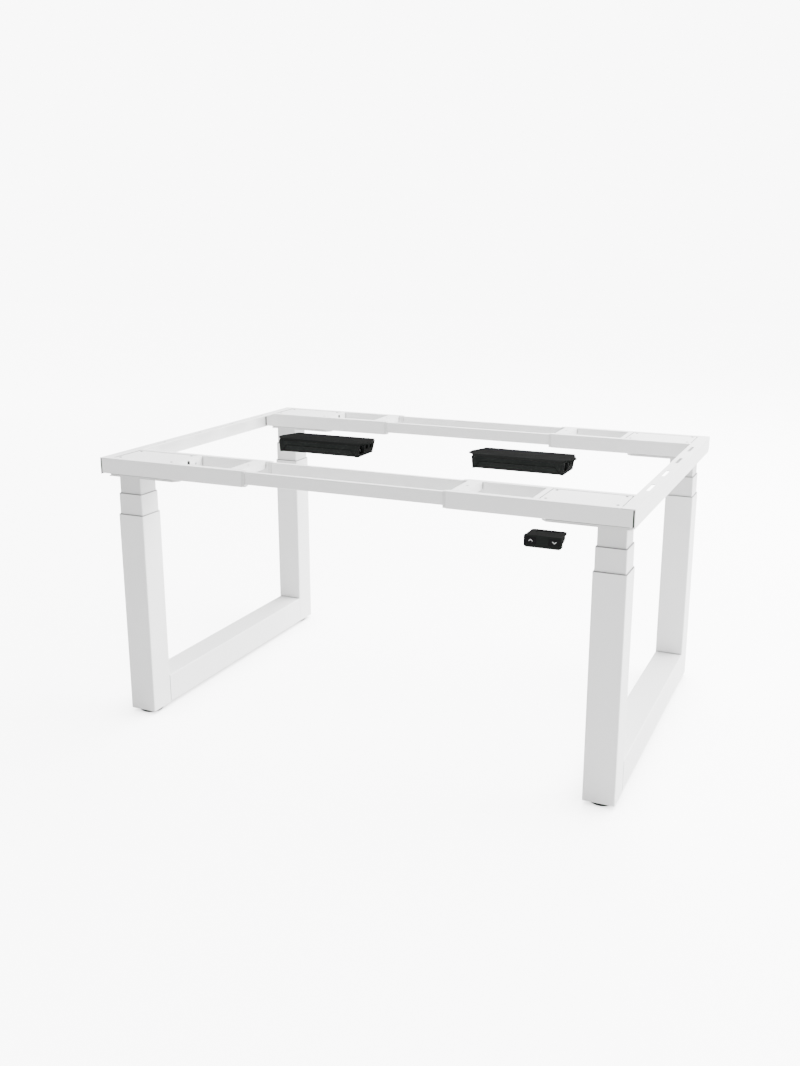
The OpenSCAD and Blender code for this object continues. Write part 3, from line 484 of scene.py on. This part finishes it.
# %% Grommet and motor screw on each strap
STRAP_TO_COVER = 0.0135
GROMMET_LENGTH, GROMMET_WIDTH, GROMMET_RIM, GROMMET_CORNER = 0.0100, 0.0080, 0.0012, 0.0025
MOTOR_HEAD, MOTOR_HEAD_HEIGHT = 0.0032, 0.0016
GROMMET_FROM_AXIS, GROMMET_BELOW_TOP = 0.0105, 0.0065
MOTOR_SCREW_FROM_AXIS, MOTOR_SCREW_BELOW_TOP = -0.0185, 0.012
strap_face = cover_x[0] - STRAP_TO_COVER
grommet_y, grommet_z = leg_y + GROMMET_FROM_AXIS, cover_top - GROMMET_BELOW_TOP
screw_y, screw_z = leg_y + MOTOR_SCREW_FROM_AXIS, cover_top - MOTOR_SCREW_BELOW_TOP
for side, end, sx, sy in CORNERS:
    to_middle = turned(-90.0 * sx, "Y")
    bm = bmesh.new()
    pad = rounded_block(bm, GROMMET_LENGTH, GROMMET_WIDTH, GROMMET_RIM, GROMMET_CORNER)
    bmesh.ops.rotate(bm, verts=pad, matrix=to_middle)
    bmesh.ops.translate(bm, verts=pad, vec=(sx * strap_face, sy * grommet_y, grommet_z))
    make_piece(f"{side}_{end}_strap_grommet", bm, black_nylon, TOP_BODY[side])
    bm = bmesh.new()
    head = button_head(bm, (0.0, 0.0, 0.0), MOTOR_HEAD, MOTOR_HEAD_HEIGHT, True)
    bmesh.ops.rotate(bm, verts=head, matrix=to_middle)
    bmesh.ops.translate(bm, verts=head, vec=(sx * strap_face, sy * screw_y, screw_z))
    make_piece(f"{side}_{end}_motor_screw", bm, zinc, TOP_BODY[side])
print("strap face at", strap_face)

# %% [markdown]
# ## Weld beads
# A coated weld is a soft fillet in the corner between two pieces. It could be a swept tube, but
# a bead that follows a square tube with round corners is simpler as a ring: a square face is
# given round corners and inset twice, and what lies inside is lifted a little more each time.
# The face in the middle is deleted, and the sloping ring that this leaves gets a wall, so it is
# closed.

# %% Helper: a fillet all round a tube that stands on the plane Z = 0
# How far each step goes in and up, as shares of the bead's size
BEAD_STEPS = ((0.50, 0.38), (0.42, 0.62))
BEAD_WALL, BEAD_SEGMENTS = 0.0004, 5


def weld_ring(bm, width, corner, bead):
    grid = bmesh.ops.create_grid(bm, x_segments=1, y_segments=1, size=0.5)["verts"]
    bmesh.ops.scale(bm, verts=grid, vec=(width + 2 * bead, width + 2 * bead, 1.0))
    bmesh.ops.bevel(bm, geom=list(grid), affect="VERTICES", offset=corner + bead,
                    segments=BEAD_SEGMENTS, profile=0.5, material=-1)
    face = max(bm.faces, key=lambda f: len(f.verts))
    for inward, upward in BEAD_STEPS:
        bmesh.ops.inset_region(bm, faces=[face], thickness=bead * inward, use_boundary=True,
                               use_even_offset=True)
        bmesh.ops.translate(bm, verts=list(face.verts), vec=(0.0, 0.0, bead * upward))
    bmesh.ops.delete(bm, geom=[face], context="FACES_ONLY")
    bmesh.ops.solidify(bm, geom=list(bm.faces), thickness=BEAD_WALL)
    return list(bm.verts)


# %% [markdown]
# ## Beads under the leg plates
# Each inner tube is welded all round to the underside of its leg plate. The ring is made on its
# plane, turned over, and hung under the plate, so the bead's wide side lies on the plate and its
# narrow side on the tube.

# %% Beads between each inner tube and its leg plate
INNER_WIDTH, INNER_CORNER, PLATE_BEAD = 0.060, 0.003, 0.0035
for side, end, sx, sy in CORNERS:
    bm = bmesh.new()
    ring = weld_ring(bm, INNER_WIDTH, INNER_CORNER, PLATE_BEAD)
    bmesh.ops.rotate(bm, verts=ring, matrix=turned(180.0, "X"))
    bmesh.ops.translate(bm, verts=ring, vec=(sx * leg_x, sy * leg_y, plate_under))
    make_piece(f"{side}_{end}_plate_weld", bm, weld_coat, TOP_BODY[side])
print("welds made")

# %% [markdown]
# ## Countersunk screws
# Screws that must hardly stand out are countersunk, and only a shallow disc with a cross slot
# shows. The cross is two thin bars a hair above the disc, painted with the slot's shadow, which
# costs far fewer faces than a cut slot and looks the same at this size. The bars take the piece's
# second material, the painted recess shadow.

# %% Helper: screws with a cross slot as one piece
DISC_DEPTH, DISC_TAPER, DISC_POINTS = 0.0006, 0.86, 24
BAR_LENGTH, BAR_WIDTH, BAR_DEPTH, BAR_TURN = 1.1, 0.22, 0.0002, 20.0


def cross_head(bm, radius):
    before = set(bm.verts)
    bmesh.ops.create_cone(bm, cap_ends=True, segments=DISC_POINTS, radius1=radius * DISC_TAPER,
                          radius2=radius, depth=DISC_DEPTH)
    disc = [v for v in bm.verts if v not in before]
    bmesh.ops.translate(bm, verts=disc, vec=(0.0, 0.0, -DISC_DEPTH / 2))
    cross = []
    for turn in (0.0, 90.0):
        bar = bmesh.ops.create_cube(bm, size=1.0)["verts"]
        bmesh.ops.scale(bm, verts=bar, vec=(radius * BAR_LENGTH, radius * BAR_WIDTH, BAR_DEPTH))
        bmesh.ops.rotate(bm, verts=bar, matrix=turned(turn + BAR_TURN, "Z"))
        bmesh.ops.translate(bm, verts=bar, vec=(0.0, 0.0, BAR_DEPTH / 2))
        cross += bar
    return disc, cross


def cross_head_screws(name, places, radius, up, body):
    bm = bmesh.new()
    dark = []
    for place in places:
        disc, cross = cross_head(bm, radius)
        if not up:
            bmesh.ops.rotate(bm, verts=disc + cross, matrix=turned(180.0, "X"))
        bmesh.ops.translate(bm, verts=disc + cross, vec=place)
        dark += cross
    for face in {f for v in dark for f in v.link_faces}:
        face.material_index = 1
    piece = make_piece(name, bm, zinc, body)
    piece.data.materials.append(recess)


# %% [markdown]
# ## Motor cover screws
# Four flat screws hold each motor cover to its bracket, one near each of its corners. They stay
# below the plane of the side rails' tops, on which the desktop lies. Their places are counted
# from the cover's edges, which were measured above.

# %% Cover screws
COVER_HEAD, COVER_HEAD_PROUD = 0.0032, 0.0006
COVER_INSET_X, COVER_INSET_Y = 0.010, 0.008
for side, end, sx, sy in CORNERS:
    places = [(sx * x, sy * y, cover_top + COVER_HEAD_PROUD)
              for x in (cover_x[0] + COVER_INSET_X, cover_x[1] - COVER_INSET_X)
              for y in (cover_y[0] + COVER_INSET_Y, cover_y[1] - COVER_INSET_Y)]
    cross_head_screws(f"{side}_{end}_cover_screws", places, COVER_HEAD, True, TOP_BODY[side])
print("cover screws made")

# %% [markdown]
# ## Grooves of the control boxes
# A groove runs round the sloping panel in a control box's front. It is a thin strip of painted
# shadow, darker than the case, that lies on the front, and not a cut, because the solid below
# stays as it is. The long strip and the two short ones at its ends are laid flat and then tipped
# together, until they lie on the front's slight draught.

# %% Groove in the front of each control box
GROOVE_WIDTH, GROOVE_DEPTH, GROOVE_CORNER = 0.0009, 0.0003, 0.0002
GROOVE_LENGTH, GROOVE_HEIGHT, GROOVE_SINK = 0.1840, 0.0181, 0.0007
RETURN_LENGTH, RETURN_X, RETURN_TURN = 0.0228, 0.0988, 52.5
FRONT_TILT = 92.9
for side in SIDES:
    low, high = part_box(f"{side}_box_tray")
    middle_x, tray_bottom = (low.x + high.x) / 2, low.z
    bm = bmesh.new()
    rounded_block(bm, GROOVE_LENGTH, GROOVE_WIDTH, GROOVE_DEPTH, GROOVE_CORNER, segments=1)
    for lean in (-1.0, 1.0):
        strip = rounded_block(bm, RETURN_LENGTH, GROOVE_WIDTH, GROOVE_DEPTH, GROOVE_CORNER,
                              segments=1)
        bmesh.ops.rotate(bm, verts=strip, matrix=turned(-lean * RETURN_TURN, "Z"))
        bmesh.ops.translate(bm, verts=strip, vec=(lean * RETURN_X, -GROOVE_HEIGHT / 2, 0.0))
    bmesh.ops.rotate(bm, verts=bm.verts, matrix=turned(FRONT_TILT, "X"))
    bmesh.ops.translate(bm, verts=bm.verts, vec=(
        middle_x, low.y + GROOVE_SINK, tray_bottom + GROOVE_HEIGHT))
    make_piece(f"{side}_box_groove", bm, painted_groove_shadow, "centre")
print("grooves made")

# %% [markdown]
# ## Pins in the sockets
# The sockets in a control box's right end have pins: three flat blades in the mains inlet, and
# two rows of three in each motor socket. They stand on the sockets' floor, deep enough to stay in
# its shadow. Four countersunk screws close the tray from below. All these places are counted from
# the tray's front and its bottom, so they go where the tray goes.

# %% Pins and bottom screws of each control box
SOCKET_DEPTH, PIN_LENGTH, PIN_MIDDLE = 0.014, 0.0050, 0.0023
INLET_BACK, BLADE_WIDTH, BLADE_HEIGHT = 0.023, 0.0018, 0.0040
BLADE_PLACES = ((-0.006, 0.0145), (0.006, 0.0145), (0.0, 0.0215))
MOTOR_SOCKETS_BACK, MOTOR_SOCKET_UP = (0.052, 0.075), 0.021
PIN_WIDTH, COLUMN_PITCH, ROW_PITCH = 0.0009, 0.0036, 0.0040
BOX_HEAD, BOX_HEAD_PROUD = 0.0028, 0.0004
BOX_SCREWS_ACROSS, BOX_SCREWS_BACK = (-0.095, 0.095), (0.0175, 0.0775)
for side in SIDES:
    low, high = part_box(f"{side}_box_tray")
    middle_x, tray_bottom = (low.x + high.x) / 2, low.z
    pin_x = high.x - SOCKET_DEPTH + PIN_MIDDLE
    bm = bmesh.new()
    for across, up in BLADE_PLACES:
        blade = bmesh.ops.create_cube(bm, size=1.0)["verts"]
        bmesh.ops.scale(bm, verts=blade, vec=(PIN_LENGTH, BLADE_WIDTH, BLADE_HEIGHT))
        bmesh.ops.translate(bm, verts=blade, vec=(
            pin_x, low.y + INLET_BACK + across, tray_bottom + up))
    for back in MOTOR_SOCKETS_BACK:
        for column in (-1.0, 0.0, 1.0):
            for row in (-0.5, 0.5):
                pin = bmesh.ops.create_cube(bm, size=1.0)["verts"]
                bmesh.ops.scale(bm, verts=pin, vec=(PIN_LENGTH, PIN_WIDTH, PIN_WIDTH))
                bmesh.ops.translate(bm, verts=pin, vec=(
                    pin_x, low.y + back + COLUMN_PITCH * column,
                    tray_bottom + MOTOR_SOCKET_UP + ROW_PITCH * row))
    make_piece(f"{side}_box_pins", bm, zinc, "centre")
    places = [(middle_x + across, low.y + back, tray_bottom - BOX_HEAD_PROUD)
              for across in BOX_SCREWS_ACROSS for back in BOX_SCREWS_BACK]
    cross_head_screws(f"{side}_box_screws", places, BOX_HEAD, False, "centre")
print("control boxes detailed")

# %% [markdown]
# ## Arrows on the keys
# The keys carry a plain white chevron each, one up and one down. A chevron is two short bars
# that meet at a right angle. Two thin blocks turned by the same angle either way make it, about
# a tenth of a millimetre proud of the key, as a printed mark is.

# %% Key arrows
print_white = make_finish("white_print", (0.90, 0.90, 0.90), (0.95, 0.95, 0.95), (0.45, 0.55),
                          grain=2000.0, patch=60.0, depth=0.05)
ARROW_BAR, ARROW_STROKE, ARROW_PRINT, ARROW_CORNER = 0.0052, 0.0007, 0.00012, 0.0002
ARROW_SPREAD, ARROW_RISE, ARROW_TURN, ARROW_GAP = 0.0024, 0.0020, 45.0, 0.00002
for key, up in (("up_key", 1.0), ("down_key", -1.0)):
    low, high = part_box(key)
    middle = (low + high) / 2
    bm = bmesh.new()
    for lean in (-1.0, 1.0):
        bar = rounded_block(bm, ARROW_BAR, ARROW_STROKE, ARROW_PRINT, ARROW_CORNER, segments=2)
        bmesh.ops.translate(bm, verts=bar, vec=(lean * ARROW_SPREAD, 0.0, 0.0))
        bmesh.ops.rotate(bm, verts=bar, matrix=turned(-lean * up * ARROW_TURN, "Z"))
        bmesh.ops.translate(bm, verts=bar, vec=(0.0, up * ARROW_RISE, 0.0))
        bmesh.ops.rotate(bm, verts=bar, matrix=turned(90.0, "X"))
        bmesh.ops.translate(bm, verts=bar, vec=(middle.x, low.y - ARROW_GAP, middle.z))
    make_piece(f"{key}_arrow", bm, print_white, key)
print("arrows made")

# %% [markdown]
# ## The studio floor
# The frame stands on a pale seamless floor that runs into a white background. A curved sheet
# would hide the line between the two, as in a real studio. Here one flat square does, as it is
# much wider than what the camera sees, and its paint below matches the background.

# %% Floor
FLOOR_REACH = 14.0
floor_mesh = bpy.data.meshes.new("studio_floor")
bm = bmesh.new()
bmesh.ops.create_grid(bm, x_segments=1, y_segments=1, size=FLOOR_REACH)
bm.to_mesh(floor_mesh)
bm.free()
floor = bpy.data.objects.new("studio_floor", floor_mesh)
bpy.context.scene.collection.objects.link(floor)
print("floor", 2 * FLOOR_REACH, "metres wide")

# %% [markdown]
# ## The floor's paint
# White paper lit so strongly that it looks white would flood the frame with light, so part of
# the floor's brightness is a glow that only the camera's rays see. The glow weakens close to the
# feet, which draws their contact shadows, and grows with the distance, as the lamps' light fades
# there: so no horizon shows. From below the floor is clear, and the underside of the frame can be
# looked at.

# %% Floor paint
FLOOR_GLOW, FLOOR_GREY, FLOOR_ROUGHNESS = 6.2, 0.80, 0.75
CONTACT_REACH, CONTACT_OPEN, CONTACT_SHARE, CONTACT_SAMPLES = 0.16, 0.9, 0.15, 12
NEAR, FAR, FAR_GLOW = 1.2, 6.0, 1.34
floor_paint = bpy.data.materials.new("pale_floor")
floor_paint.use_nodes = True
tree = floor_paint.node_tree
shader = tree.nodes["Principled BSDF"]
shader.inputs["Base Color"].default_value = (FLOOR_GREY, FLOOR_GREY, FLOOR_GREY, 1.0)
shader.inputs["Roughness"].default_value = FLOOR_ROUGHNESS
shader.inputs["Emission Strength"].default_value = FLOOR_GLOW
openness = add_node(tree, "ShaderNodeAmbientOcclusion", values={"Distance": CONTACT_REACH})
openness.samples = CONTACT_SAMPLES
contact = add_node(tree, "ShaderNodeMapRange", values={
    "From Max": CONTACT_OPEN, "To Min": CONTACT_SHARE}, links={"Value": openness.outputs["AO"]})
ray = tree.nodes.new("ShaderNodeLightPath")
seen = add_node(tree, "ShaderNodeMath", "MULTIPLY", links={
    0: ray.outputs["Is Camera Ray"], 1: contact.outputs["Result"]})
place = tree.nodes.new("ShaderNodeTexCoord")
distance = add_node(tree, "ShaderNodeVectorMath", "LENGTH", links={0: place.outputs["Object"]})
far_share = add_node(tree, "ShaderNodeMapRange", values={
    "From Min": NEAR, "From Max": FAR, "To Min": 1.0, "To Max": FAR_GLOW},
    links={"Value": distance.outputs["Value"]})
glow = add_node(tree, "ShaderNodeMath", "MULTIPLY", links={
    0: seen.outputs["Value"], 1: far_share.outputs["Result"]})
white_glow = add_node(tree, "ShaderNodeCombineColor", links={
    channel: glow.outputs["Value"] for channel in ("Red", "Green", "Blue")})
tree.links.new(white_glow.outputs["Color"], shader.inputs["Emission Color"])
side_seen = tree.nodes.new("ShaderNodeNewGeometry")
solid_from_above = add_node(tree, "ShaderNodeMapRange", values={"To Min": 1.0, "To Max": 0.0},
                            links={"Value": side_seen.outputs["Backfacing"]})
tree.links.new(solid_from_above.outputs["Result"], shader.inputs["Alpha"])
floor_mesh.materials.append(floor_paint)
print("floor glow", FLOOR_GLOW, "to", FLOOR_GLOW * FAR_GLOW)

# %% [markdown]
# ## Lamps and background
# The photograph has its right sides and tops lighter than its fronts, and hardly a shadow. So a
# large soft lamp stands to the right, a little higher than the frame, a stronger one hangs above
# and behind it, and the fronts get no lamp at all, only the even light of the white background.
# The background, too, is brighter for the camera than for the frame.


# %% Lamps and world
def soft_lamp(name, place, target, size, watts):
    data = bpy.data.lights.new(name, "AREA")
    data.shape = "RECTANGLE"
    data.size, data.size_y = size
    data.energy = watts
    lamp = bpy.data.objects.new(name, data)
    lamp.location = place
    lamp.rotation_euler = (Vector(target) - Vector(place)).to_track_quat("-Z", "Y").to_euler()
    bpy.context.scene.collection.objects.link(lamp)


BACKGROUND_LIGHT, BACKGROUND_GLOW = 1.0, 9.0
soft_lamp("right_softbox", place=(4.7, 1.7, 1.3), target=(0.0, 0.3, 0.5), size=(3.4, 2.6),
          watts=430.0)
soft_lamp("top_softbox", place=(1.3, 2.0, 4.0), target=(0.2, 0.6, 0.5), size=(5.0, 3.6),
          watts=1150.0)
world = bpy.data.worlds.new("white_studio")
world.use_nodes = True
tree = world.node_tree
paper = tree.nodes["Background"]
paper.inputs["Color"].default_value = (1.0, 1.0, 1.0, 1.0)
ray = tree.nodes.new("ShaderNodeLightPath")
glow = add_node(tree, "ShaderNodeMapRange", values={
    "To Min": BACKGROUND_LIGHT, "To Max": BACKGROUND_GLOW},
    links={"Value": ray.outputs["Is Camera Ray"]})
tree.links.new(glow.outputs["Result"], paper.inputs["Strength"])
bpy.context.scene.world = world
print("lamps", len(bpy.data.lights))
